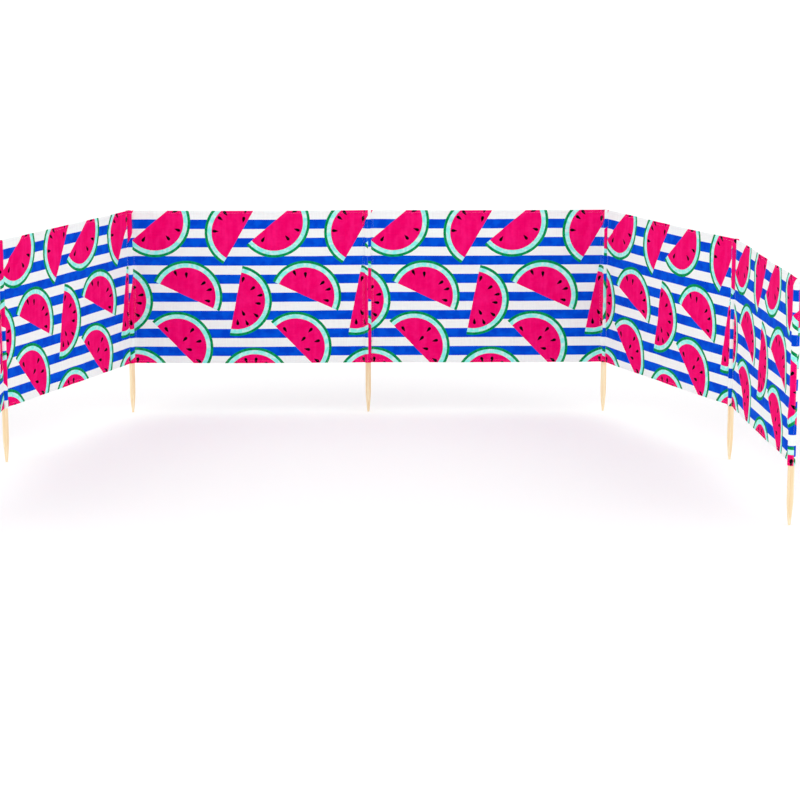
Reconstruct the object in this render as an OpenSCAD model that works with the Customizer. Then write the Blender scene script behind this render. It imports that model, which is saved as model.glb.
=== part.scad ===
// Beach windbreak: printed cloth bays between wooden poles, set up as a U that opens to the front.
// Millimetres, +Z up. The origin is the blunt tip of the middle pole, and the middle two bays run
// along X. The front, towards the inside of the U, is -Y. The two halves mirror each other in X.

/* [Cloth] */
// Height of the cloth
cloth_h = 700; // [400:10:1500]
// Distance between the axes of neighbouring poles
bay_pitch = 1080; // [500:10:2000]
// Thickness of one layer of cloth
cloth_t = 1; // [0.6:0.1:2]
// Depth of the hem along the top and bottom edges
hem_h = 14; // [6:1:40]
// Width of the seam beside each pocket
seam_w = 12; // [6:1:40]

/* [Pole pockets] */
// Ease of a pocket's mouth on its pole, on the radius
mouth_ease = 0.3; // [0.2:0.1:2]
// Gap between a pocket and the seams that turn round it
seam_gap = 0.3; // [0.2:0.1:2]

/* [Poles] */
// Diameter of a pole
pole_d = 25; // [18:1:40]
// Length of pole below the cloth, point included
bare_len = 230; // [150:5:500]
// Length of the point
point_len = 92; // [40:2:140]
// Diameter of the flat at the end of the point
tip_d = 9; // [4:0.5:16]
// How far the point swells outside a straight cone, halfway along
point_swell = 0.8; // [0:0.1:1.5]
// Rounding of the pole's head
head_round = 3; // [1:0.5:8]
// Gap between a pole's head and the closed top of its pocket
head_gap = 0.3; // [0.2:0.1:2]

/* [Layout] */
// Turn towards the front at the end of each of the middle two bays, in degrees
inner_turn = 66.5; // [0:0.5:80]
// Further turn towards the front at the start of each end bay, in degrees
outer_turn = 20.5; // [0:0.5:30]

/* [Hidden] */
$fn = 72;
pole_r = pole_d / 2;
tip_r = tip_d / 2;
top_z = bare_len + cloth_h;
pole_len = top_z - cloth_t - head_gap;
// A pocket's mouth has its hem turned in, so the tube above it is one layer wider.
mouth_r = pole_r + mouth_ease;
bore_r = mouth_r + cloth_t;
pocket_r = bore_r + cloth_t;
// Distance from a pole's axis to the edge of the cloth beside it
edge_x = pocket_r + seam_gap;
headings = [0, inner_turn, inner_turn + outer_turn];
// Plan position of the k-th pole out from the middle one, on the right
function stand(k) = k <= 0 ? [0, 0]
    : stand(k - 1) + bay_pitch * [cos(headings[k - 1]), -sin(headings[k - 1])];
// Arc of a profile about c, from angle a to angle b
function arc(c, r, a, b, n = 6) =
    [for (i = [0:n]) let (t = a + (b - a) * i / n) c + r * [cos(t), sin(t)]];

// Seven poles and the six bays between them, counted from the left

// Left pieces are the right ones mirrored.
module on_side(left) {
    if (left) mirror([1, 0, 0]) children();
    else children();
}

// Stands children on pole i, counted from the left.
module at_pole(i) {
    p = stand(abs(i - 4));
    on_side(i < 4) translate([p.x, p.y, 0]) children();
}

// Lays children, drawn along +X from a pole axis, along bay i, counted from the left.
module along_bay(i) {
    k = i < 4 ? 3 - i : i - 4;
    p = stand(k);
    on_side(i < 4) translate([p.x, p.y, 0]) rotate([0, 0, -headings[k]]) children();
}

// Round dowel with a rounded head and a swelling point that ends in a small flat.
module pole(i) {
    n = 6;
    color([0.96, 0.85, 0.68]) at_pole(i) rotate_extrude()
        polygon(concat(
            [[0, 0]],
            [for (j = [0:n]) let (s = j / n)
                [tip_r + (pole_r - tip_r) * s + point_swell * 4 * s * (1 - s), point_len * s]],
            arc([pole_r - head_round, pole_len - head_round], head_round, 0, 90),
            [[0, pole_len]]));
}

// Cloth tube that hangs on the pole's head by its closed top, with a hem turned in at its mouth.
module pocket(i) {
    // The inner and outer curve of the closed top share a centre.
    c = [bore_r - head_round, cloth_h - cloth_t - head_round];
    color([0.05, 0.27, 0.80]) at_pole(i) translate([0, 0, bare_len]) rotate_extrude()
        polygon(concat(
            [[mouth_r, 0], [pocket_r, 0]],
            arc(c, head_round + cloth_t, 0, 90),
            [[0, cloth_h], [0, cloth_h - cloth_t]],
            arc(c, head_round, 90, 0),
            [[bore_r, hem_h], [mouth_r, hem_h]]));
}

// One bay of cloth: a single layer with the hems and the pocket seams turned to the back.
module panel(i) {
    w = bay_pitch - 2 * edge_x;
    color([0.93, 0.10, 0.38]) along_bay(i) translate([edge_x, -cloth_t / 2, bare_len]) union() {
        cube([w, cloth_t, cloth_h]);
        for (z = [0, cloth_h - hem_h]) translate([0, 0, z]) cube([w, 2 * cloth_t, hem_h]);
        for (x = [0, w - seam_w]) translate([x, 0, 0]) cube([seam_w, 2 * cloth_t, cloth_h]);
    }
}

for (i = [1:7]) {
    pole(i);
    pocket(i);
}
for (i = [1:6]) {
    panel(i);
}
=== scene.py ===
import math

import bpy
import numpy as np
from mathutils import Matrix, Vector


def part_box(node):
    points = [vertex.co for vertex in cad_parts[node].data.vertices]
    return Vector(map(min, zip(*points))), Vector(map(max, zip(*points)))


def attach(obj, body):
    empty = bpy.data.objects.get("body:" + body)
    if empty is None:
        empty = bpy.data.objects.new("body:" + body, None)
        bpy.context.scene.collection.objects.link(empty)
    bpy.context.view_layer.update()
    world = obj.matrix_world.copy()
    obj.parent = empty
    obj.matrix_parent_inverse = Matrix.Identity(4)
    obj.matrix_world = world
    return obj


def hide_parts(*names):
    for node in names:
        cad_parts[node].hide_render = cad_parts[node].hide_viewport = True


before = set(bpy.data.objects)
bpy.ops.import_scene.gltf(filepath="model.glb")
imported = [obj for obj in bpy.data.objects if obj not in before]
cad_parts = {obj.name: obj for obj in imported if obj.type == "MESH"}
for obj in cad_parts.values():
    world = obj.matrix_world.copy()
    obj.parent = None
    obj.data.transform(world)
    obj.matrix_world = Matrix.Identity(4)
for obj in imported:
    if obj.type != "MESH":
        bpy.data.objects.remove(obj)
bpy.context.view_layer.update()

scene = bpy.context.scene
MM = 0.001

# The poles and the bays between them, counted from the left
POLES = range(1, 8)
BAYS = range(1, 7)
POLE_BODIES = ["bay_1", "bay_2", "bay_3", "middle_pole", "bay_4", "bay_5", "bay_6"]
BODY_OF_POLE = dict(zip(POLES, POLE_BODIES))


def axis_of(node):
    """Middle of a node's box, seen from above."""
    low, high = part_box(node)
    return np.array([(low.x + high.x) / 2, (low.y + high.y) / 2])


# Sizes read from the frame
AXIS = {i: axis_of(f"pole_{i}") for i in POLES}
PITCH = float(np.linalg.norm(AXIS[5] - AXIS[4]))
CLOTH_LOW, CLOTH_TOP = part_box("panel_4")[0].z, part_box("panel_4")[1].z
CLOTH_H = CLOTH_TOP - CLOTH_LOW
POLE_R = (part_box("pole_4")[1].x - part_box("pole_4")[0].x) / 2
POLE_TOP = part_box("pole_4")[1].z
POCKET_R = (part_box("pocket_4")[1].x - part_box("pocket_4")[0].x) / 2

# Sizes of the sewn cloth
LAYER = 0.8 * MM  # one layer of cloth
RIDGE = 0.3 * MM  # how far a turned layer pushes the front out
HEM = 14 * MM
SEAM = 12 * MM
SEWN_IN = 0.7 * MM  # how far a bay's edge is sewn into the pocket's wall
EDGE = POCKET_R - SEWN_IN  # from a pole's axis to the edge of a bay
# Where the faces of a bay lie, towards the front from its middle
FRONT_FACE, BACK_FACE, TURNED_FACE = 0.5 * LAYER, -0.5 * LAYER, -1.5 * LAYER


# Noise and meshes
NOISE_CELLS = 64  # the noise repeats after this many units


def smooth(t):
    """A step from 0 to 1 with soft ends."""
    t = np.clip(t, 0, 1)
    return t * t * t * (t * (t * 6 - 15) + 10)


def noise(x, y, seed):
    """Smooth noise from -1 to 1 whose features are about one unit across."""
    table = np.random.default_rng(seed).uniform(-1, 1, (NOISE_CELLS, NOISE_CELLS))
    x, y = np.broadcast_arrays(np.asarray(x, float), np.asarray(y, float))
    i, j = np.floor(x).astype(int), np.floor(y).astype(int)
    fx, fy = smooth(x - i), smooth(y - j)

    def at(a, b):
        return table[(i + a) % NOISE_CELLS, (j + b) % NOISE_CELLS]

    low = at(0, 0) * (1 - fx) + at(1, 0) * fx
    high = at(0, 1) * (1 - fx) + at(1, 1) * fx
    return low * (1 - fy) + high * fy


def outward(points, faces):
    """True if a closed mesh's faces point out."""
    points = np.asarray(points)
    fans = [(f[0], f[i], f[i + 1]) for f in faces for i in range(1, len(f) - 1)]
    a, b, c = (points[[f[i] for f in fans]] for i in range(3))
    return np.einsum("ij,ij->i", a, np.cross(b, c)).sum() > 0


def add_mesh(name, points, faces, material, key=None, corners=None, sharp_deg=None):
    """A piece from points and faces.

    corners holds one vector for each corner of each face, kept under key. Edges that bend by more than
    sharp_deg degrees stay sharp.
    """
    mesh = bpy.data.meshes.new(name)
    mesh.from_pydata([tuple(p) for p in points], [], faces)
    if key:
        layer = mesh.attributes.new(key, "FLOAT_VECTOR", "CORNER")
        layer.data.foreach_set("vector", np.concatenate(corners).astype(np.float32).ravel())
    mesh.polygons.foreach_set("use_smooth", [True] * len(mesh.polygons))
    if sharp_deg:
        mesh.set_sharp_from_angle(angle=math.radians(sharp_deg))
    mesh.materials.append(material)
    mesh.update()
    piece = bpy.data.objects.new(name, mesh)
    scene.collection.objects.link(piece)
    return piece


# Shader building
class Number:
    """A number in a shader, with arithmetic that adds Math nodes."""

    def __init__(self, tree, socket):
        self.tree, self.socket = tree, socket

    def math(self, operation, *others):
        node = self.tree.nodes.new("ShaderNodeMath")
        node.operation = operation
        for slot, value in zip(node.inputs, (self, *others)):
            put(self.tree, slot, value)
        return Number(self.tree, node.outputs[0])

    def __add__(self, other):
        return self.math("ADD", other)

    def __sub__(self, other):
        return self.math("SUBTRACT", other)

    def __mul__(self, other):
        return self.math("MULTIPLY", other)

    def __truediv__(self, other):
        return self.math("DIVIDE", other)

    def less(self, other):
        return self.math("LESS_THAN", other)

    def over(self, other):
        return self.math("GREATER_THAN", other)

    def ramp(self, low, high, to_low=0.0, to_high=1.0):
        node = self.tree.nodes.new("ShaderNodeMapRange")
        node.interpolation_type = "SMOOTHSTEP"
        for slot, value in zip(node.inputs, (self, low, high, to_low, to_high)):
            put(self.tree, slot, value)
        return Number(self.tree, node.outputs[0])


def put(tree, slot, value):
    """Links a value to a socket, or sets the socket where the value is constant."""
    if isinstance(value, Number):
        tree.links.new(value.socket, slot)
    elif isinstance(value, bpy.types.NodeSocket):
        tree.links.new(value, slot)
    else:
        slot.default_value = value


def colour(r, g, b):
    """Linear colour from 8-bit screen values."""

    def linear(c):
        return c / 12.92 if c <= 0.04045 else ((c + 0.055) / 1.055) ** 2.4

    return (linear(r / 255), linear(g / 255), linear(b / 255), 1.0)


# The Mix node's sockets for each kind of data: first input, second input, output
MIX_SOCKETS = {"RGBA": (6, 7, 2), "VECTOR": (4, 5, 1)}


def mix(tree, share, a, b, kind="RGBA"):
    node = tree.nodes.new("ShaderNodeMix")
    node.data_type = kind
    first, second, result = MIX_SOCKETS[kind]
    put(tree, node.inputs[0], share)
    put(tree, node.inputs[first], a)
    put(tree, node.inputs[second], b)
    return node.outputs[result]


def vector_math(tree, operation, *values):
    node = tree.nodes.new("ShaderNodeVectorMath")
    node.operation = operation
    for slot, value in zip(node.inputs, values):
        put(tree, slot, value)
    return node


def parts(tree, vector):
    node = tree.nodes.new("ShaderNodeSeparateXYZ")
    put(tree, node.inputs[0], vector)
    return [Number(tree, s) for s in node.outputs]


def joined(tree, x, y, z):
    node = tree.nodes.new("ShaderNodeCombineXYZ")
    for slot, value in zip(node.inputs, (x, y, z)):
        put(tree, slot, value)
    return node.outputs[0]


def length(tree, x, y):
    return Number(tree, vector_math(tree, "LENGTH", joined(tree, x, y, 0.0)).outputs["Value"])


def texture_noise(tree, vector, scale, detail=2.0, roughness=0.5):
    node = tree.nodes.new("ShaderNodeTexNoise")
    put(tree, node.inputs["Vector"], vector)
    node.inputs["Scale"].default_value = scale
    node.inputs["Detail"].default_value = detail
    node.inputs["Roughness"].default_value = roughness
    return Number(tree, node.outputs["Fac"])


def stretched_noise(tree, vector, scales, detail=2.0, roughness=0.5):
    """Noise with a scale of its own along each axis."""
    spread = vector_math(tree, "MULTIPLY", vector, scales).outputs[0]
    return texture_noise(tree, spread, 1.0, detail, roughness)


def read_vector(tree, name):
    node = tree.nodes.new("ShaderNodeAttribute")
    node.attribute_name = name
    return node.outputs["Vector"]


def add_bump(tree, shader, height, strength, distance):
    bump = tree.nodes.new("ShaderNodeBump")
    bump.inputs["Strength"].default_value = strength
    bump.inputs["Distance"].default_value = distance
    put(tree, bump.inputs["Height"], height)
    tree.links.new(bump.outputs[0], shader.inputs["Normal"])


def new_material(name):
    material = bpy.data.materials.new(name)
    material.use_nodes = True
    tree = material.node_tree
    return material, tree, tree.nodes["Principled BSDF"]


# The print, in metres
STRIPE_PITCH, STRIPE_W = 0.0834, 0.0426
STRIPE_TOP = 0.040  # from the cloth's top to the first stripe
REPEAT = PITCH / 2
SLICE_R, RIND, PITH = 0.163, 0.012, 0.019
# Each slice: across the repeat, up from the cloth's lower edge, turn of its flat side in degrees
SLICES = [
    (0.505, 0.600, 60),
    (0.480, 0.290, 259),
    (0.115, 0.650, 220),
    (0.255, 0.310, 335),
    (0.210, 0.075, 314),
    (0.020, -0.090, 20),
]
# Distance from the slice's centre, how many places, the share of them left empty
SEED_RINGS = [(0.058, 3, 0.65), (0.104, 7, 0.25)]
SEED_LENGTH, SEED_WIDTH = 0.0138, 0.0094
SEED_STRAY = 0.45  # how far seeds stray to the side, as a share of their place
SEED_SCATTER = 0.022  # how far they stray in and out
SEED_WAIST, SEED_TAPER = 0.62, 0.42  # a seed's width at its middle, and what it gains outwards
SEED_DRAW = 3.7  # where the random draws for the seeds begin
WANDER, WANDER_SCALE = 0.0005, 160  # how far the print's edges wander, and the noise they follow
NO_WRAP = 10.0  # further than the print reaches, so nothing repeats that way

# Inks, with two shades where the ink is blotchy
WHITE = colour(249, 254, 252)
SEED = colour(18, 6, 12)
BARE_BACK = colour(238, 238, 238)
BLUE_SHADES = colour(0, 70, 210), colour(2, 88, 226)
FLESH_SHADES = colour(245, 0, 105), colour(255, 22, 123)
PITH_SHADES = colour(142, 250, 238), colour(216, 253, 248)
RIND_SHADES = colour(0, 136, 72), colour(16, 160, 92)
# Levels of noise at which an ink has its first shade and its second
BLUE_LEVELS, FLESH_LEVELS = (0.35, 0.65), (0.36, 0.68)
PITH_LEVELS, RIND_LEVELS = (0.38, 0.68), (0.35, 0.65)
# Scales of the noise in the inks
FINE_SCALE, COARSE_SCALE, PITH_SCALE, RIND_SCALE = 90, 22, 45, 60
STREAK_SCALES = (48, 6, 1)
FINE_DETAIL = 3
FINE_SHARE, COARSE_SHARE, STREAK_SHARE = 0.2, 0.4, 0.4  # of the blotches in the flesh


def find_slice(tree, flat):
    """1 for a point in a slice and 0 elsewhere, then its place in that slice and the slice's number."""
    high, low = (REPEAT / 2, NO_WRAP, NO_WRAP), (-REPEAT / 2, -NO_WRAP, -NO_WRAP)
    local, inside = (0.0, 0.0, 0.0), None
    for number, (across, height, turn) in enumerate(SLICES):
        off = vector_math(tree, "SUBTRACT", flat, (across, height, 0)).outputs[0]
        off = vector_math(tree, "WRAP", off, high, low).outputs[0]
        spin = tree.nodes.new("ShaderNodeVectorRotate")
        spin.rotation_type = "Z_AXIS"
        put(tree, spin.inputs["Vector"], off)
        spin.inputs["Angle"].default_value = -math.radians(turn)
        x, y, _ = parts(tree, spin.outputs[0])
        here = length(tree, x, y).less(SLICE_R) * y.over(0.0)
        local = mix(tree, here, local, joined(tree, x, y, float(number + 1)), "VECTOR")
        inside = here if inside is None else inside.math("MAXIMUM", here)
    return inside, parts(tree, local)


def add_seeds(tree, ink, r, angle, number):
    """Seeds in two rings, over the ink of a slice."""
    for ring, (distance, count, empty) in enumerate(SEED_RINGS):
        sector = math.pi / count
        place = (angle / sector).math("FLOOR")
        dice = tree.nodes.new("ShaderNodeTexWhiteNoise")
        put(tree, dice.inputs["Vector"], joined(tree, place, number, SEED_DRAW + ring))
        d1, d2, d3 = parts(tree, dice.outputs["Color"])
        side = (angle - (place + 0.5) * sector - (d1 - 0.5) * (sector * SEED_STRAY)) * r
        out = r - (d2 - 0.5) * SEED_SCATTER - distance
        width = (out / SEED_LENGTH) * SEED_TAPER + SEED_WAIST
        across = (side / (width * SEED_WIDTH)).math("POWER", 2.0)
        shape = across + (out / SEED_LENGTH).math("POWER", 2.0)
        ink = mix(tree, shape.less(1.0) * d3.over(empty), ink, SEED)
    return ink


def print_colour(tree, where):
    """The stripes with fruit slices, from a vector of metres along and up the cloth."""
    wobble = tree.nodes.new("ShaderNodeTexNoise")
    put(tree, wobble.inputs["Vector"], where)
    wobble.inputs["Scale"].default_value = WANDER_SCALE
    reach, middle = (2 * WANDER, 2 * WANDER, 0), (-WANDER, -WANDER, 0)
    shift = vector_math(tree, "MULTIPLY_ADD", wobble.outputs["Color"], reach, middle)
    flat = vector_math(tree, "ADD", where, shift.outputs[0]).outputs[0]
    fine = texture_noise(tree, where, FINE_SCALE, FINE_DETAIL)
    coarse = texture_noise(tree, where, COARSE_SCALE)

    up = parts(tree, flat)[1]
    drop = (up - CLOTH_H) * -1.0
    band = ((drop - STRIPE_TOP) / STRIPE_PITCH).math("FLOORED_MODULO", 1.0)
    blue = mix(tree, coarse.ramp(*BLUE_LEVELS), *BLUE_SHADES)
    stripes = mix(tree, band.less(STRIPE_W / STRIPE_PITCH), WHITE, blue)

    inside, (x, y, number) = find_slice(tree, flat)
    r = length(tree, x, y)
    angle = y.math("ARCTAN2", x)
    streaks = stretched_noise(tree, where, STREAK_SCALES)
    blotches = fine * FINE_SHARE + coarse * COARSE_SHARE + streaks * STREAK_SHARE
    flesh = mix(tree, blotches.ramp(*FLESH_LEVELS), *FLESH_SHADES)
    pith = mix(tree, texture_noise(tree, where, PITH_SCALE).ramp(*PITH_LEVELS), *PITH_SHADES)
    rind = mix(tree, texture_noise(tree, where, RIND_SCALE).ramp(*RIND_LEVELS), *RIND_SHADES)
    ink = mix(tree, r.over(SLICE_R - RIND - PITH), flesh, pith)
    ink = mix(tree, r.over(SLICE_R - RIND), ink, rind)
    return mix(tree, inside, stripes, add_seeds(tree, ink, r, angle, number))


# The materials
NOISE_LEVELS = (0.3, 0.7)  # low and high levels of a noise texture
# Cloth: the weave's repeat in metres, and the scales of the slubs in the yarns
WEAVE = 0.0011
WEFT_SCALES, WARP_SCALES = (14, 420, 1), (420, 14, 1)
SLUB_LEVELS, SLUB_SHADES = (0.7, 1.3), (0.95, 1.03)
SLUB_HEIGHT = 0.6  # against the weave's height
SHOW_THROUGH = 0.5  # how far the ink's colour is lost on the back
CLOTH_ROUGHNESS = (0.78, 0.92)
CLOTH_BUMP = (0.35, 0.0002)  # strength, distance in metres
# Wood: scales across the pole and along it
GRAIN_SCALES, RING_SCALES = (260, 260, 5), (55, 55, 1.6)
GRAIN_DETAIL, GRAIN_ROUGHNESS = 4, 0.6
GRAIN_LEVELS, GRAIN_SHARE = (0.45, 0.75), 0.45
RING_DENSITY, RING_SHARE = 34.0, 0.6
WOOD_PALE, WOOD_DARK = colour(255, 239, 202), colour(247, 212, 161)
WOOD_STREAK = colour(228, 182, 125)
WOOD_ROUGHNESS = (0.5, 0.68)
WOOD_BUMP = (0.3, 0.0003)  # strength, distance in metres
# Thread
TWIST_SCALE, TWIST_DETAIL = 2500, 1
THREAD_SHADES = colour(236, 236, 240), colour(206, 208, 220)


def cloth_material(name):
    material, tree, shader = new_material(name)
    along, up, reverse = parts(tree, read_vector(tree, "print"))
    flat = joined(tree, along, up, 0.0)
    ink = print_colour(tree, flat)
    # The ink shows paler through the back of the cloth.
    paler = mix(tree, SHOW_THROUGH, ink, BARE_BACK)
    face = mix(tree, reverse, ink, paler)
    # Slubs in the yarn, then the weave itself
    weft = stretched_noise(tree, flat, WEFT_SCALES)
    warp = stretched_noise(tree, flat, WARP_SCALES)
    shade = vector_math(tree, "SCALE", face)
    put(tree, shade.inputs["Scale"], (weft + warp).ramp(*SLUB_LEVELS, *SLUB_SHADES))
    tree.links.new(shade.outputs[0], shader.inputs["Base Color"])
    thread = 2 * math.pi / WEAVE
    weave = (along * thread).math("SINE") * (up * thread).math("SINE")
    add_bump(tree, shader, weave + (weft + warp) * SLUB_HEIGHT, *CLOTH_BUMP)
    yarn = weft * 0.5 + warp * 0.5
    put(tree, shader.inputs["Roughness"], yarn.ramp(*NOISE_LEVELS, *CLOTH_ROUGHNESS))
    shader.inputs["Specular IOR Level"].default_value = 0.02
    shader.inputs["Sheen Weight"].default_value = 0.006
    shader.inputs["Sheen Roughness"].default_value = 0.5
    return material


def wood_material(name):
    material, tree, shader = new_material(name)
    where = read_vector(tree, "grain")
    streak = stretched_noise(tree, where, GRAIN_SCALES, GRAIN_DETAIL, GRAIN_ROUGHNESS)
    rings = stretched_noise(tree, where, RING_SCALES)
    ring_line = (rings * RING_DENSITY).math("SINE").ramp(-1.0, 1.0)
    base = mix(tree, ring_line * RING_SHARE, WOOD_PALE, WOOD_DARK)
    base = mix(tree, streak.ramp(*GRAIN_LEVELS) * GRAIN_SHARE, base, WOOD_STREAK)
    tree.links.new(base, shader.inputs["Base Color"])
    add_bump(tree, shader, streak, *WOOD_BUMP)
    put(tree, shader.inputs["Roughness"], streak.ramp(*NOISE_LEVELS, *WOOD_ROUGHNESS))
    shader.inputs["Specular IOR Level"].default_value = 0.35
    return material


def thread_material(name):
    material, tree, shader = new_material(name)
    where = tree.nodes.new("ShaderNodeTexCoord").outputs["Object"]
    twist = texture_noise(tree, where, TWIST_SCALE, TWIST_DETAIL)
    tree.links.new(mix(tree, twist, *THREAD_SHADES), shader.inputs["Base Color"])
    shader.inputs["Roughness"].default_value = 0.6
    return material


CLOTH = cloth_material("printed cloth")
WOOD = wood_material("pole wood")
THREAD = thread_material("sewing thread")


# The bays
GRID = 7 * MM  # spacing of a bay's points, away from its edges
HEM_STEPS = np.array([0, 4, 8, 11, 13.6, 14.6]) * MM
SEAM_STEPS = np.array([0, 3, 6, 9, 11.6, 12.6]) * MM
FOLD_TURNS = np.radians([30, 60, 90, 120, 150])  # round the fold at the cloth's top and bottom
CLOTH_SHARP = 50

# How far each bay bellies to the front, in millimetres
BILLOW = {1: 4.5, 2: -5.0, 3: 4.0, 4: -4.5, 5: 5.0, 6: -4.0}
BELLY_HEMS, BELLY_MIDDLE = 0.6, 0.4  # its share at the hems, and what is added halfway up
SAG = 2.2 * MM
BAY_SEED = 100  # the seeds of one bay's folds start so far after the last bay's
# Each kind of fold: depth in millimetres, size along the bay, size up the cloth, seed
BROAD_FOLDS = [(2.4, 0.42, 0.085, 1), (0.8, 0.16, 0.05, 2), (1.9, 0.08, 0.55, 7)]
PUCKERS = (1.0, 0.3, 0.017, 3)
HEM_RIPPLES = (0.9, 0.022, 0.5, 4)
HEM_WAVES = (1.6, 0.11, 0.6, 5)
LIFTS = (0.5, 0.09, 2.0, 6)
# Distances from a pocket
BROAD_FULL = 0.09  # where the broad folds have their full depth
LINES_FULL = 0.03  # where ripples and drag lines have theirs
PUCKER_FULL, PUCKER_PEAK, PUCKER_REACH = 0.006, 0.012, 0.05
# Distances from a hem
RIPPLE_REACH, WAVE_REACH = 0.035, 0.08
# Drag lines: depth in millimetres at the upper and lower corners, then distances from the corner
DRAG_TOP, DRAG_LOW = 5.5, 3.0
DRAG_START, DRAG_GROW, DRAG_REACH = 0.04, 0.12, 0.24
DRAG_ANGLE, DRAG_LENGTH = 0.19, 0.7  # size of one line, in radians and metres
DRAG_PLACE, DRAG_SEED = 3, 10  # where in the noise they are read, and their first seed
DRAG_CORNERS = [
    (EDGE, CLOTH_H, DRAG_TOP),
    (PITCH - EDGE, CLOTH_H, DRAG_TOP),
    (EDGE, 0.0, DRAG_LOW),
    (PITCH - EDGE, 0.0, DRAG_LOW),
]


def steps(span, fine, pitch):
    """Places along a span, with the fine ones repeated at both ends."""
    count = int(round((span - 2 * fine[-1]) / pitch)) + 1
    inner = np.linspace(fine[-1], span - fine[-1], count)
    return np.concatenate([fine[:-1], inner, span - np.array(fine[:-1])[::-1]])


def bay_frame(bay):
    """A bay's start, its way along and its way to the front, seen from above."""
    start, end = AXIS[bay], AXIS[bay + 1]
    way = (end - start) / np.linalg.norm(end - start)
    return start, way, np.array([way[1], -way[0]])


def folds_of(kind, bay, x, y):
    """Folds of one kind, in metres."""
    depth, across, height, seed = kind
    return depth * MM * noise(x / across, y / height, BAY_SEED * bay + seed)


def cloth_shape(bay, x, y):
    """(out of plane, upwards) in metres, for x along the bay from its left pole and y up the cloth."""
    seam = np.clip(np.minimum(x - EDGE, PITCH - EDGE - x), 0, None)
    hem = np.clip(np.minimum(y, CLOTH_H - y), 0, None)
    held = smooth(seam / BROAD_FULL)
    lines_held = smooth(seam / LINES_FULL)
    arch = np.sin(np.pi * x / PITCH)
    out = BILLOW[bay] * MM * arch * (BELLY_HEMS + BELLY_MIDDLE * np.sin(np.pi * y / CLOTH_H))
    for kind in BROAD_FOLDS:
        out = out + folds_of(kind, bay, x, y) * held
    # Puckers across the pocket seams
    rise = seam / PUCKER_PEAK * np.exp(1 - seam / PUCKER_PEAK)
    pull = np.maximum(rise, np.exp(-seam / PUCKER_REACH)) * smooth(seam / PUCKER_FULL)
    out = out + folds_of(PUCKERS, bay, x, y) * pull
    # Ripples that run up from the hems
    ripple = np.exp(-hem / RIPPLE_REACH) * lines_held
    out = out + folds_of(HEM_RIPPLES, bay, x, y) * ripple
    out = out + folds_of(HEM_WAVES, bay, x, y) * np.exp(-hem / WAVE_REACH) * held
    # Drag lines that fan out from the corners, deeper at the top, where the cloth hangs
    for number, (cx, cy, depth) in enumerate(DRAG_CORNERS):
        far = np.hypot(x - cx, y - cy)
        fan = np.arctan2(np.abs(y - cy), np.abs(x - cx))
        fade = smooth((far - DRAG_START) / DRAG_GROW) * np.exp(-far / DRAG_REACH) * lines_held
        seed = BAY_SEED * bay + DRAG_SEED + number
        lines = noise(fan / DRAG_ANGLE, far / DRAG_LENGTH + DRAG_PLACE, seed)
        out = out + depth * MM * lines * fade
    lift = -SAG * arch + folds_of(LIFTS, bay, x, y) * held
    return out, lift


def cloth_rows(ys):
    """One closed ring up the front of a bay and down its back, and which of its rows are on the back.

    Each row is its height, its offset to the front, its height in the print, and 1 on the reverse side.
    """
    heights = np.clip(ys, LAYER, CLOTH_H - LAYER)
    rows = [(y, FRONT_FACE, y, 0.0) for y in heights]
    fold = [(math.sin(a) * LAYER, BACK_FACE + math.cos(a) * LAYER) for a in FOLD_TURNS]
    rows += [(CLOTH_H - LAYER + h, o, CLOTH_H, 0.0) for h, o in fold]
    for y in heights[::-1]:
        # A turned hem shows the printed side, past the edge that it is folded on.
        shown = 2 * CLOTH_H - y if y > CLOTH_H - HEM else -y if y < HEM else y
        turned = shown != y
        rows.append((y, TURNED_FACE if turned else BACK_FACE, shown, 0.0 if turned else 1.0))
    rows += [(LAYER - h, o, 0.0, 0.0) for h, o in reversed(fold)]
    back = np.zeros(len(rows), bool)
    first = len(ys) + len(fold)
    back[first : first + len(ys)] = True
    return np.array(rows), back


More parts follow.
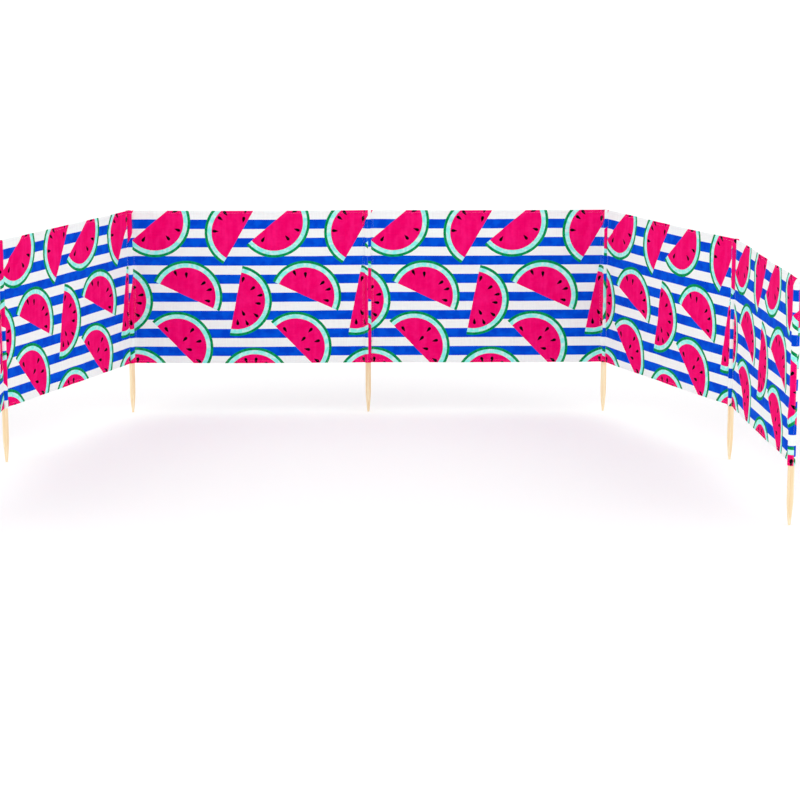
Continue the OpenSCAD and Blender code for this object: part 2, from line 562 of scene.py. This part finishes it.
def make_bay(bay):
    start, way, front = bay_frame(bay)
    xs = EDGE + steps(PITCH - 2 * EDGE, SEAM_STEPS, GRID)
    ys = steps(CLOTH_H, HEM_STEPS, GRID)
    rows, back = cloth_rows(ys)
    wide, tall, around, folds = len(xs), len(ys), len(rows), len(FOLD_TURNS)
    x, y = np.meshgrid(xs, rows[:, 0], indexing="ij")
    offset, shown, reverse = (np.broadcast_to(rows[:, c], x.shape).copy() for c in (1, 2, 3))
    along = x.copy()
    # The seam allowance beside each pocket is turned back too.
    for near, edge in ((x - EDGE < SEAM, EDGE), (PITCH - EDGE - x < SEAM, PITCH - EDGE)):
        at = near & back
        offset[at], reverse[at], along[at] = TURNED_FACE, 0.0, 2 * edge - x[at]
    # The layers turned back show as a slight ridge on the front.
    doubled = (np.minimum(y, CLOTH_H - y) < HEM) | (np.minimum(x, PITCH - x) - EDGE < SEAM)
    offset[:, :tall] += np.where(doubled[:, :tall], RIDGE, 0.0)
    out, lift = cloth_shape(bay, x, y)
    side = offset + out
    plan = [start[c] + way[c] * x + front[c] * side for c in (0, 1)]
    points = np.stack([*plan, CLOTH_LOW + y + lift], -1).reshape(-1, 3)
    prints = np.stack([along, shown, reverse], -1)
    faces, corners = [], []
    for i in range(wide - 1):
        for j in range(around):
            m = (j + 1) % around
            quad = [(i, j), (i + 1, j), (i + 1, m), (i, m)]
            if back[j]:
                # Front and back split along the same diagonal, so neither cuts through the other.
                quad = quad[1:] + quad[:1]
            faces.append(tuple(a * around + b for a, b in quad))
            corner = prints[tuple(np.transpose(quad))]
            if back[j] and back[m]:
                # The step at the edge of a turned layer takes that layer's print.
                if reverse[i, j] != reverse[i, m]:
                    corner[:, 1:] = (shown[i, j if reverse[i, j] == 0 else m], 0)
                if reverse[i, j] != reverse[i + 1, j]:
                    corner[:, 0] = along[i if reverse[i, j] == 0 else i + 1, j]
                    corner[:, 2] = 0
            corners.append(corner)
    # Each end is closed between the front row and the back row at the same height.
    last_back = 2 * tall + folds - 1
    loops = [[j, j + 1, last_back - (j + 1), last_back - j] for j in range(tall - 1)]
    loops += [list(range(tall - 1, tall + folds + 1)), list(range(last_back, around)) + [0]]
    for i in (0, wide - 1):
        for loop in loops:
            loop = loop if i == 0 else loop[::-1]
            faces.append(tuple(i * around + j for j in loop))
            corners.append(prints[i, loop])
    if not outward(points, faces):
        faces, corners = [f[::-1] for f in faces], [c[::-1] for c in corners]
    piece = add_mesh(f"bay_cloth_{bay}", points, faces, CLOTH, "print", corners, CLOTH_SHARP)
    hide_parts(f"panel_{bay}")
    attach(piece, f"bay_{bay}")
    return piece


# Stitches
STITCH, STITCH_PITCH = 3.2 * MM, 4.4 * MM
HEM_LINE = 11 * MM  # hem stitching, from the edge
HEM_LINE_ENDS = 4 * MM  # from its ends to the bay's edges
SEAM_LINES = (3.0 * MM, 9.0 * MM)  # seam stitching, from the edge
SEAM_LINE_ENDS = 3 * MM  # from its ends to the hems' edges
STITCH_SHOULDER = 0.55  # where a stitch begins to taper, as a share of its half length
# A stitch's section in millimetres: out of the cloth, and across
STITCH_SECTION = ((0.26, 0.0), (-0.1, 0.22), (-0.1, -0.22))
UPWARDS = np.array([0, 0, 1.0])


def spindles(name, places):
    """Thin pointed stitches. Each place is (middle, along, out) in metres."""
    points, faces = [], []
    for middle, along, out in places:
        across = np.cross(along / np.linalg.norm(along), out)
        first = len(points)
        points.append(middle - along)
        for s in (-STITCH_SHOULDER, STITCH_SHOULDER):
            for o, c in STITCH_SECTION:
                points.append(middle + along * s + out * o * MM + across * c * MM)
        points.append(middle + along)
        for j in range(3):
            a, b = first + 1 + j, first + 1 + (j + 1) % 3
            faces += [(first, b, a), (a, b, b + 3, a + 3), (a + 3, b + 3, first + 7)]
    return add_mesh(name, points, faces, THREAD)


def stitch_bay(bay):
    """Stitches along the hems and beside the pockets, on both sides of the cloth."""
    start, way, front = bay_frame(bay)
    normal = np.array([front[0], front[1], 0.0])
    lines = []
    xs = np.arange(EDGE + HEM_LINE_ENDS, PITCH - EDGE - HEM_LINE_ENDS, STITCH_PITCH)
    for y in (HEM_LINE, CLOTH_H - HEM_LINE):
        lines += [(x, y, 1, 0) for x in xs]
    ys = np.arange(SEAM_LINE_ENDS, CLOTH_H - SEAM_LINE_ENDS, STITCH_PITCH)
    for off in SEAM_LINES:
        for x in (EDGE + off, PITCH - EDGE - off):
            lines += [(x, y, 0, 1) for y in ys]
    x, y, dx, dy = np.array(lines).T
    out, lift = cloth_shape(bay, x, y)
    places = []
    for i in range(len(x)):
        along = np.array([way[0] * dx[i], way[1] * dx[i], dy[i]]) * STITCH / 2
        flat = np.array([*(start + way * x[i]), CLOTH_LOW + (y[i] + lift[i])])
        for face, depth in ((1.0, FRONT_FACE + RIDGE), (-1.0, -TURNED_FACE)):
            places.append((flat + normal * (out[i] + face * depth), along, normal * face))
    piece = spindles(f"bay_stitching_{bay}", places)
    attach(piece, f"bay_{bay}")
    return piece


# The pockets and poles
LATHE_SHARP = 40


def lathe(name, centre, profile, turns, material, wrinkle, key, mark):
    """Turns (radius, height) pairs round a vertical axis, where the first and last lie.

    wrinkle gives added radius, and mark gives the vectors at the corners of a face, to keep under key.
    """
    profile, around = np.array(profile), len(turns)
    rings = profile[1:-1]
    a, r = np.meshgrid(turns, rings[:, 0], indexing="xy")
    z = np.repeat(rings[:, 1][:, None], around, 1)
    r = r + wrinkle(a, r, z)
    walls = np.stack([centre[0] + r * np.cos(a), centre[1] + r * np.sin(a), z], -1).reshape(-1, 3)
    ends = [[[centre[0], centre[1], profile[i][1]]] for i in (0, -1)]
    points = np.vstack([ends[0], walls, ends[1]])
    last = len(points) - 1
    faces = []
    for j in range(around):
        b = (j + 1) % around
        faces.append((0, 1 + j, 1 + b))
        top = 1 + (len(rings) - 1) * around
        faces.append((last, top + b, top + j))
    for i in range(len(rings) - 1):
        for j in range(around):
            b = (j + 1) % around
            low, high = 1 + i * around, 1 + (i + 1) * around
            faces.append((low + j, high + j, high + b, low + b))
    if not outward(points, faces):
        faces = [f[::-1] for f in faces]
    corners = [mark(points[list(f)] - [centre[0], centre[1], 0]) for f in faces]
    return add_mesh(name, points, faces, material, key, corners, LATHE_SHARP)


# Where in the print each pocket's strip of cloth was cut
POCKET_PRINT = {1: 0.08, 2: 0.20, 3: 0.50, 4: 0.28, 5: 0.08, 6: 0.42, 7: 0.10}
POCKET_RO = POCKET_R - 0.35 * MM  # the wrinkles stand out from it
POCKET_WALL = 0.9 * MM
POCKET_BEND = 4 * MM  # rounding of the closed top
BEND_TURNS = np.radians([0, 18, 36, 54, 72, 90])
POCKET_TURNS = 40
MOUTH_R = POLE_R + 0.5 * MM
# Rings of points: from the top's end to the hem, then heights above the mouth
POCKET_RINGS, RINGS_TOP, RINGS_LOW = 84, 8 * MM, 20 * MM
HEM_RINGS = np.array([17, 14.6, 13.6, 10, 6, 3, 1]) * MM
INNER_LOW = 15 * MM  # where the inside's rings end, above the turned hem
# Wrinkles: depth in millimetres, size round the pocket, height, where the noise is read, seed
POCKET_WRINKLES = [(0.6, 1.6, 0.13, 7, 900), (0.45, 1.1, 0.03, 3, 930)]
TOP_HELD, MOUTH_HELD = 0.02, 0.006  # from the ends of a pocket to its full wrinkles
WRINKLE_FROM, WRINKLE_GROW = 11 * MM, 2 * MM  # radius at which wrinkles begin, and how they grow
# How far a bay's cloth laps over the pocket at its right end, in degrees from where it is sewn on.
# The first pocket is the mirror of the last: its bay is on its right.
LAP = {1: 200, 2: 0, 3: 0, 4: 90, 5: 50, 6: 80, 7: 200}
LAP_RISE = 0.5 * MM
LAP_STEP = 0.035  # the angle that the lap's edge takes to step down
LAP_CLEAR = 0.06  # the angle beside the lap's edge that is kept free of other points
LAP_LINE = 3 * MM  # lap stitching, from the edge
LAP_LINE_LOW, LAP_LINE_TOP = 4 * MM, 7 * MM  # from its ends to the pocket's
RING_STITCHES = 20
NUDGE = 1e-6  # keeps the angle at which the cloth begins from counting as a full turn
ON_AXIS = 0.1 * MM  # a corner closer than this to the axis is on it


def sewn_angle(pole):
    """Direction from a pole in which the cloth of its pocket begins and ends."""
    way = AXIS[pole - 1 if pole > 1 else 2] - AXIS[pole]
    return math.atan2(way[1], way[0])


def lap_way(pole):
    """1 where the lap goes round anticlockwise, seen from above, and -1 where it goes clockwise."""
    return -1 if pole == 1 else 1


def round_pocket(pole, a):
    """Angle round the pocket, from 0 where its cloth begins."""
    return (lap_way(pole) * (a - sewn_angle(pole)) + NUDGE) % (2 * np.pi)


def lapped(pole, turn):
    return (turn < math.radians(LAP[pole]) + LAP_STEP / 2) & (LAP[pole] > 0)


def lap_rise(pole, a):
    return LAP_RISE * lapped(pole, round_pocket(pole, a))


def pocket_wrinkle(pole, a, z):
    """Added radius. The folds only stand out, so the bays' edges stay sewn in."""
    total = 0.0
    for depth, size, height, place, seed in POCKET_WRINKLES:
        fold = noise(np.cos(a) * size + place, np.sin(a) * size + z / height, seed + pole)
        total = total + depth * np.clip(fold, 0, 1)
    held = smooth((CLOTH_TOP - z) / TOP_HELD) * smooth((z - CLOTH_LOW) / MOUTH_HELD)
    return MM * total * held


def pocket_profile():
    """(radius, height) pairs down the outside of a pocket, round its mouth and up the inside."""
    ro, ri, mouth = POCKET_RO, POCKET_RO - POCKET_WALL, MOUTH_R
    top, low = CLOTH_TOP, CLOTH_LOW

    def arc(r):
        x, z = ro - POCKET_BEND, top - POCKET_BEND
        return [(x + r * math.sin(t), z + r * math.cos(t)) for t in BEND_TURNS]

    rings = np.linspace(top - RINGS_TOP, low + RINGS_LOW, POCKET_RINGS)
    heights = np.concatenate([rings, low + HEM_RINGS])
    cap = [(0, top), (4 * MM, top), (8 * MM, top)]
    outer = cap + arc(POCKET_BEND) + [(ro, z) for z in heights]
    lip = [(ro - 0.3 * MM, low + 0.2 * MM), (ro - 0.8 * MM, low)]
    lip += [(mouth + 0.5 * MM, low), (mouth, low + 0.4 * MM)]
    hem = [(mouth, low + z * MM) for z in (4, 9, 13.4)] + [(ri, low + HEM)]
    inner = [(ri, z) for z in heights[::-1] if z > low + INNER_LOW]
    ceiling = [(6 * MM, top - POCKET_WALL), (0, top - POCKET_WALL)]
    return outer + lip + hem + inner + arc(POCKET_BEND - POCKET_WALL)[::-1] + ceiling


def make_pocket(pole):
    # The lap's edge falls between two close angles.
    edge = math.radians(LAP[pole]) + np.array([0, LAP_STEP])
    turns = np.linspace(0, 2 * np.pi, POCKET_TURNS, endpoint=False)
    if LAP[pole]:
        turns = np.sort(np.append(turns[np.abs(turns[:, None] - edge).min(1) > LAP_CLEAR], edge))
    turns = sewn_angle(pole) + lap_way(pole) * turns

    def wrinkle(a, r, z):
        folds = pocket_wrinkle(pole, a, z) * smooth((r - WRINKLE_FROM) / WRINKLE_GROW)
        return folds + lap_rise(pole, a) * (r > POCKET_RO - POCKET_WALL / 2)

    def mark(corner):
        turn = round_pocket(pole, np.arctan2(corner[:, 1], corner[:, 0]))
        off_axis = np.hypot(corner[:, 0], corner[:, 1]) > ON_AXIS
        if np.ptp(turn[off_axis]) > math.pi:
            turn[turn < math.pi] += 2 * math.pi
        turn[~off_axis] = turn[off_axis].mean()
        along = lap_way(pole) * turn * POCKET_RO
        if lapped(pole, turn.mean() - LAP_STEP / 2):
            along += EDGE if pole == 1 else PITCH - EDGE
        else:
            along += POCKET_PRINT[pole] - lap_way(pole) * POCKET_RO * math.pi / 2
        return np.stack([along, corner[:, 2] - CLOTH_LOW, np.zeros(len(turn))], -1)

    name = f"pocket_cloth_{pole}"
    piece = lathe(name, AXIS[pole], pocket_profile(), turns, CLOTH, wrinkle, "print", mark)
    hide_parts(f"pocket_{pole}")
    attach(piece, BODY_OF_POLE[pole])
    return piece


def stitch_pocket(pole):
    """A row of stitches down the lap, and a ring near each end of the pocket."""
    places = []

    def add_stitch(a, z, upright):
        out = np.array([math.cos(a), math.sin(a), 0.0])
        radius = POCKET_RO + pocket_wrinkle(pole, a, z) + lap_rise(pole, a)
        along = UPWARDS if upright else np.cross(UPWARDS, out)
        places.append((np.array([*AXIS[pole], z]) + out * radius, along * STITCH / 2, out))

    if LAP[pole]:
        row = sewn_angle(pole) + lap_way(pole) * (math.radians(LAP[pole]) - LAP_LINE / POCKET_RO)
        for z in np.arange(CLOTH_LOW + LAP_LINE_LOW, CLOTH_TOP - LAP_LINE_TOP, STITCH_PITCH):
            add_stitch(row, z, True)
    # The rings begin under a bay's edge. Where a bay turns on this pocket, it is that bay's edge.
    beside = AXIS[pole + 1 if pole in (1, 5, 6) else pole - 1] - AXIS[pole]
    ring = np.linspace(0, 2 * np.pi, RING_STITCHES, endpoint=False)
    for z in (CLOTH_LOW + HEM_LINE, CLOTH_TOP - HEM_LINE):
        for a in math.atan2(beside[1], beside[0]) + ring:
            add_stitch(a, z, False)
    piece = spindles(f"pocket_stitching_{pole}", places)
    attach(piece, BODY_OF_POLE[pole])
    return piece


TIP_R, POINT, POINT_SWELL = 4.5 * MM, 92 * MM, 0.8 * MM
# Rounding of the tip's edge, in millimetres: out from the tip's radius, and up
TIP_EDGE = [(-1.2, 0.0), (-0.3, 0.35), (0.1, 1.2)]
POINT_SHARES = np.linspace(0.03, 1, 16)  # places of the point's rings, as shares of its length
SHANK_FROM, SHANK_RINGS = POINT + 1.5 * MM, 40
HEAD_ROUND, HEAD_TURNS = 3 * MM, np.radians([30, 60, 90])
POLE_TURNS = 48
TOOL_MARKS, SANDING = 0.12 * MM, 0.03 * MM  # unevenness of the cut point, and of the whole pole
# Tool marks: size round the pole, height, where the noise is read, seed
TOOL_SIZE, TOOL_HEIGHT, TOOL_PLACE, TOOL_SEED = 2.2, 0.03, 5, 700
TOOL_GROW, TOOL_END = 0.004, POINT + 1 * MM  # heights at which the marks are full, and end
BOARD_SEED, BOARD_SPREAD = 50, 3


def pole_profile():
    """(radius, height) pairs up the outside of a pole."""
    tip = [(0, 0.0)] + [(TIP_R + r * MM, z * MM) for r, z in TIP_EDGE]
    point = []
    for s in POINT_SHARES:
        point.append((TIP_R + (POLE_R - TIP_R) * s + POINT_SWELL * 4 * s * (1 - s), POINT * s))
    shank = [(POLE_R, z) for z in np.linspace(SHANK_FROM, POLE_TOP - HEAD_ROUND, SHANK_RINGS)]
    head = []
    for t in HEAD_TURNS:
        radius = POLE_R - HEAD_ROUND + HEAD_ROUND * math.cos(t)
        head.append((radius, POLE_TOP - HEAD_ROUND + HEAD_ROUND * math.sin(t)))
    return tip + point + shank + head + [(0, POLE_TOP)]


def make_pole(pole):
    def wrinkle(a, r, z):
        x, y = np.cos(a) * TOOL_SIZE + TOOL_PLACE, np.sin(a) * TOOL_SIZE + z / TOOL_HEIGHT
        tool = noise(x, y, TOOL_SEED + pole)
        return TOOL_MARKS * tool * smooth(z / TOOL_GROW) * (z < TOOL_END) + SANDING * tool

    # Each pole is cut from another place in the wood.
    board = np.random.default_rng(BOARD_SEED + pole).uniform(-BOARD_SPREAD, BOARD_SPREAD, 3)

    def mark(corner):
        return corner + board

    turns = np.linspace(0, 2 * np.pi, POLE_TURNS, endpoint=False)
    name = f"pole_wood_{pole}"
    piece = lathe(name, AXIS[pole], pole_profile(), turns, WOOD, wrinkle, "grain", mark)
    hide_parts(f"pole_{pole}")
    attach(piece, BODY_OF_POLE[pole])
    return piece


pockets = {i: make_pocket(i) for i in POLES}
poles = {i: make_pole(i) for i in POLES}
for bay in BAYS:
    cloth = make_bay(bay)
    stitching = stitch_bay(bay)
for i in POLES:
    stitch_pocket(i)


# Floor, light and camera
SKY = 0.86  # strength of the light that the sky gives
FLOOR_REACH = 300.0
FLOOR_COLOUR = (0.92, 0.92, 0.92, 1)
FLOOR_GLOW = 0.13  # brings the floor to white where it is seen
SUN, SUN_TILT, SUN_TURN, SUN_WIDTH = 0.52, 60, 60, 60  # strength, then degrees
LENS, SENSOR = 104.365, 36  # millimetres
CAMERA_AT = (-0.0199, -10.4372, 2.2176)
CAMERA_DOWN, CAMERA_TURN = 11.716, -0.908  # degrees
CAMERA_REACH = 1000


def seen_directly(tree):
    """1 for what the camera sees, also in a reflection or through glass."""
    ray = tree.nodes.new("ShaderNodeLightPath").outputs
    direct = Number(tree, ray["Is Camera Ray"])
    for name in ("Is Glossy Ray", "Is Transmission Ray"):
        direct = direct.math("MAXIMUM", Number(tree, ray[name]))
    return direct


def make_floor():
    mesh = bpy.data.meshes.new("floor")
    corners = [(-1, -1), (1, -1), (1, 1), (-1, 1)]
    points = [(x * FLOOR_REACH, y * FLOOR_REACH, 0) for x, y in corners]
    mesh.from_pydata(points, [], [(0, 1, 2, 3)])
    floor = bpy.data.objects.new("floor", mesh)
    scene.collection.objects.link(floor)
    material, tree, shader = new_material("pale floor")
    shader.inputs["Base Color"].default_value = FLOOR_COLOUR
    shader.inputs["Roughness"].default_value = 0.9
    shader.inputs["Specular IOR Level"].default_value = 0.1
    shader.inputs["Emission Color"].default_value = (1, 1, 1, 1)
    put(tree, shader.inputs["Emission Strength"], seen_directly(tree) * FLOOR_GLOW)
    mesh.materials.append(material)


def make_world():
    world = bpy.data.worlds.new("studio")
    world.use_nodes = True
    sky = world.node_tree.nodes["Background"]
    sky.inputs["Color"].default_value = (1, 1, 1, 1)
    strength = seen_directly(world.node_tree).ramp(0.0, 1.0, SKY, 1.0)
    put(world.node_tree, sky.inputs["Strength"], strength)
    scene.world = world


def add_sun(name, turn):
    lamp = bpy.data.lights.new(name, "SUN")
    lamp.energy, lamp.angle = SUN, math.radians(SUN_WIDTH)
    sun = bpy.data.objects.new(name, lamp)
    sun.rotation_euler = (math.radians(SUN_TILT), 0, math.radians(turn))
    scene.collection.objects.link(sun)


def make_camera():
    lens = bpy.data.cameras.new("camera")
    lens.lens, lens.sensor_width = LENS, SENSOR
    lens.clip_end = CAMERA_REACH
    camera = bpy.data.objects.new("camera", lens)
    camera.location = CAMERA_AT
    camera.rotation_euler = (math.radians(90 - CAMERA_DOWN), 0, math.radians(CAMERA_TURN))
    scene.collection.objects.link(camera)
    scene.camera = camera


make_floor()
make_world()
add_sun("key left", -SUN_TURN)
add_sun("key right", SUN_TURN)
make_camera()
scene.view_settings.view_transform = "Standard"
